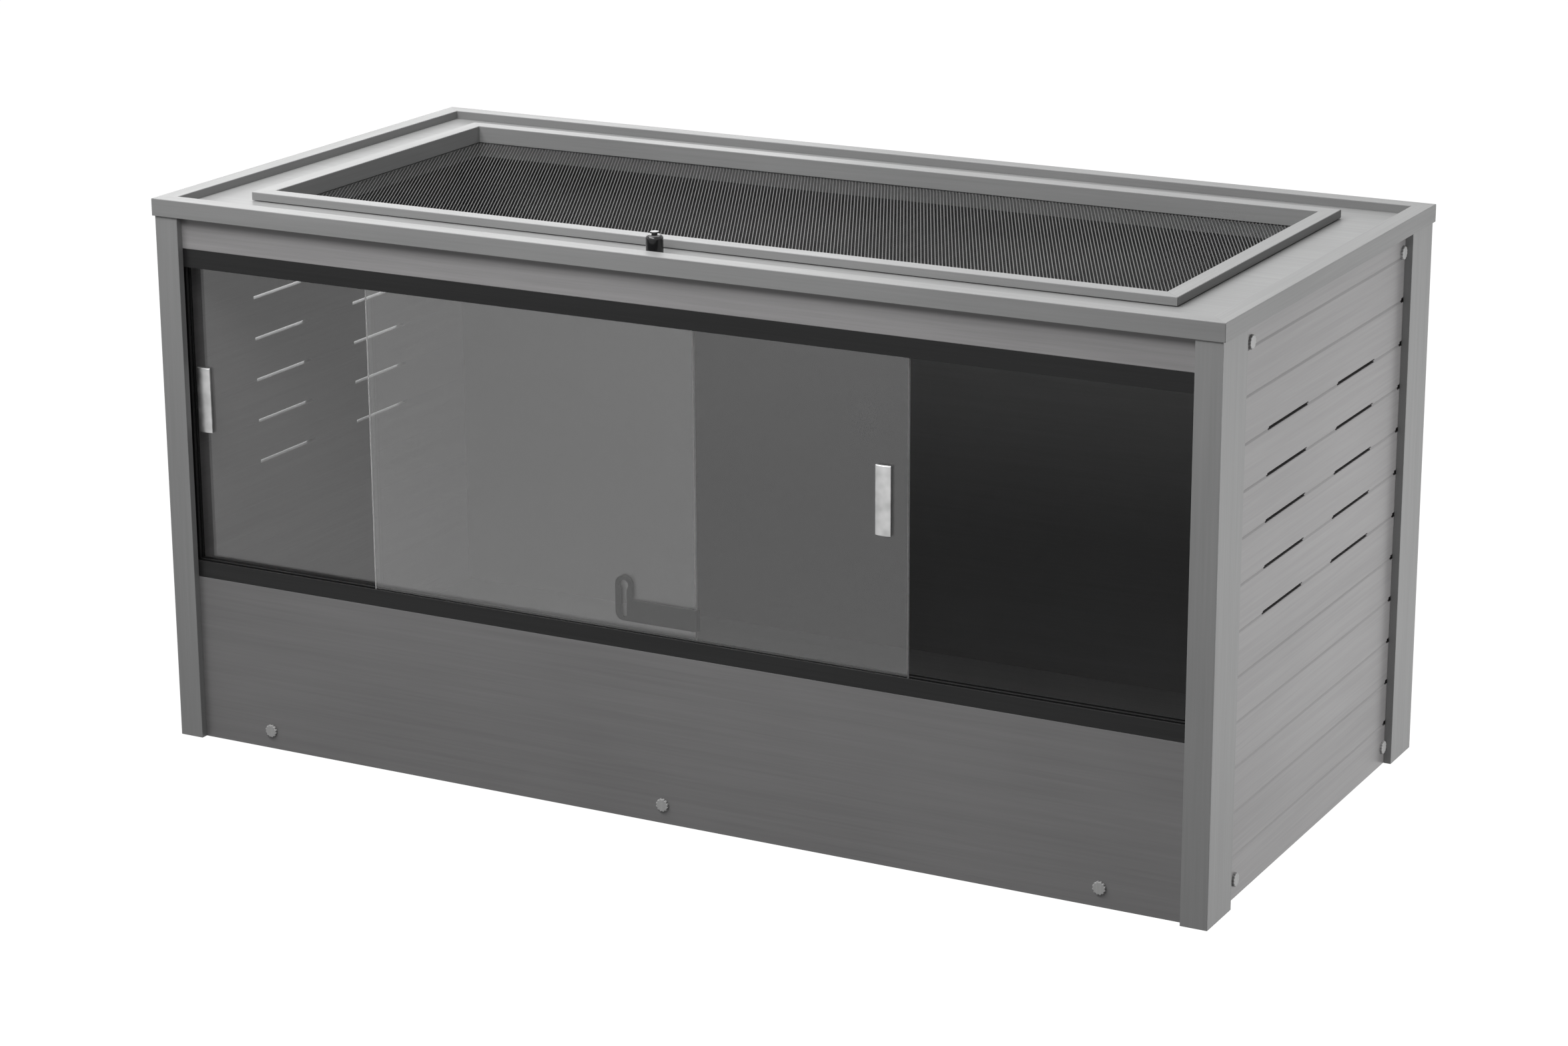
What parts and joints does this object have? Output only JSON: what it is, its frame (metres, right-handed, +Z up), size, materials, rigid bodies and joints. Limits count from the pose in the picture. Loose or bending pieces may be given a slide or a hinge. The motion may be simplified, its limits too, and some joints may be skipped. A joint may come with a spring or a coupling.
{
  "type": "cold frame",
  "caption": "Boarded growing enclosure on corner posts, with sliding glass doors in front, slotted side vents and a lift-off mesh lid let into the top.",
  "frame": {"origin": "centre of the footprint on the ground, under the middle of the enclosure", "axes": "+X to the right along the front, +Y from the glass front to the back, +Z up"},
  "size_m": [1.204, 0.579, 0.6092],
  "materials": {
    "frame_profile": "satin, drawn lengthwise",
    "lid_profile": "satin",
    "side_board": "satin, fine lengthwise streaks",
    "front_board": "satin, fine lengthwise streaks",
    "deck_board": "satin",
    "inner_board": "matte",
    "track_black": "satin extruded",
    "glass": "polished",
    "handle_satin": "satin",
    "catch_metal": "satin",
    "cap_grey": "matte",
    "mesh_wire": "dull wire",
    "lock_black": "gloss",
    "lock_metal": "plated"
  },
  "bodies": {
    "cabinet": {"bottom_track": "track_black", "cap_screws": "cap_grey", "corner_post_front_left": "frame_profile", "corner_post_front_right": "frame_profile", "corner_post_rear_left": "frame_profile", "corner_post_rear_right": "frame_profile", "deck_bearer_left": "inner_board", "deck_bearer_right": "inner_board", "deck_panel": "deck_board", "floor_panel": "inner_board", "front_fascia": "front_board", "lid_lock_housing": "lock_black", "lid_lock_nut": "lock_metal", "lower_front_panel": "front_board", "rear_panel": "inner_board", "rim_front": "frame_profile", "rim_left": "frame_profile", "rim_rear": "frame_profile", "rim_right": "frame_profile", "side_board_left_01": "side_board", "side_board_left_02": "side_board", "side_board_left_03": "side_board", "side_board_left_04": "side_board", "side_board_left_05": "side_board", "side_board_left_06": "side_board", "side_board_left_07": "side_board", "side_board_left_08": "side_board", "side_board_left_09": "side_board", "side_board_left_10": "side_board", "side_board_left_11": "side_board", "side_board_left_12": "side_board", "side_board_right_01": "side_board", "side_board_right_02": "side_board", "side_board_right_03": "side_board", "side_board_right_04": "side_board", "side_board_right_05": "side_board", "side_board_right_06": "side_board", "side_board_right_07": "side_board", "side_board_right_08": "side_board", "side_board_right_09": "side_board", "side_board_right_10": "side_board", "side_board_right_11": "side_board", "side_board_right_12": "side_board", "side_channel_left": "track_black", "side_channel_right": "track_black", "side_top_rail_left": "side_board", "side_top_rail_right": "side_board", "top_track": "track_black"},
    "left_door": {"left_pane": "glass", "left_pane_handle": "handle_satin", "left_pane_catch": "catch_metal"},
    "right_door": {"right_pane": "glass", "right_pane_handle": "handle_satin"},
    "lid": {"lid_rail_front": "lid_profile", "lid_rail_rear": "lid_profile", "lid_rail_left": "lid_profile", "lid_rail_right": "lid_profile", "lid_mesh": "mesh_wire"},
    "lock_knob": {"lid_lock_knob": "lock_black", "lid_lock_cam": "lock_metal"}
  },
  "joints": [
    {"name": "left_door_slide", "type": "slide", "parent": "cabinet", "child": "left_door", "axis": [1, 0, 0], "range_m": [0, 0.535]},
    {"name": "right_door_slide", "type": "slide", "parent": "cabinet", "child": "right_door", "axis": [1, 0, 0], "range_m": [-0.24, 0.31]},
    {"name": "lid_lift", "type": "slide", "parent": "cabinet", "child": "lid", "axis": [0, 0, 1], "range_m": [0, 0.15]},
    {"name": "lid_lock_turn", "type": "hinge", "parent": "cabinet", "child": "lock_knob", "pos_m": [-0.02, -0.2455, 0.586], "axis": [0, 0, -1], "range_deg": [0, 90]}
  ]
}
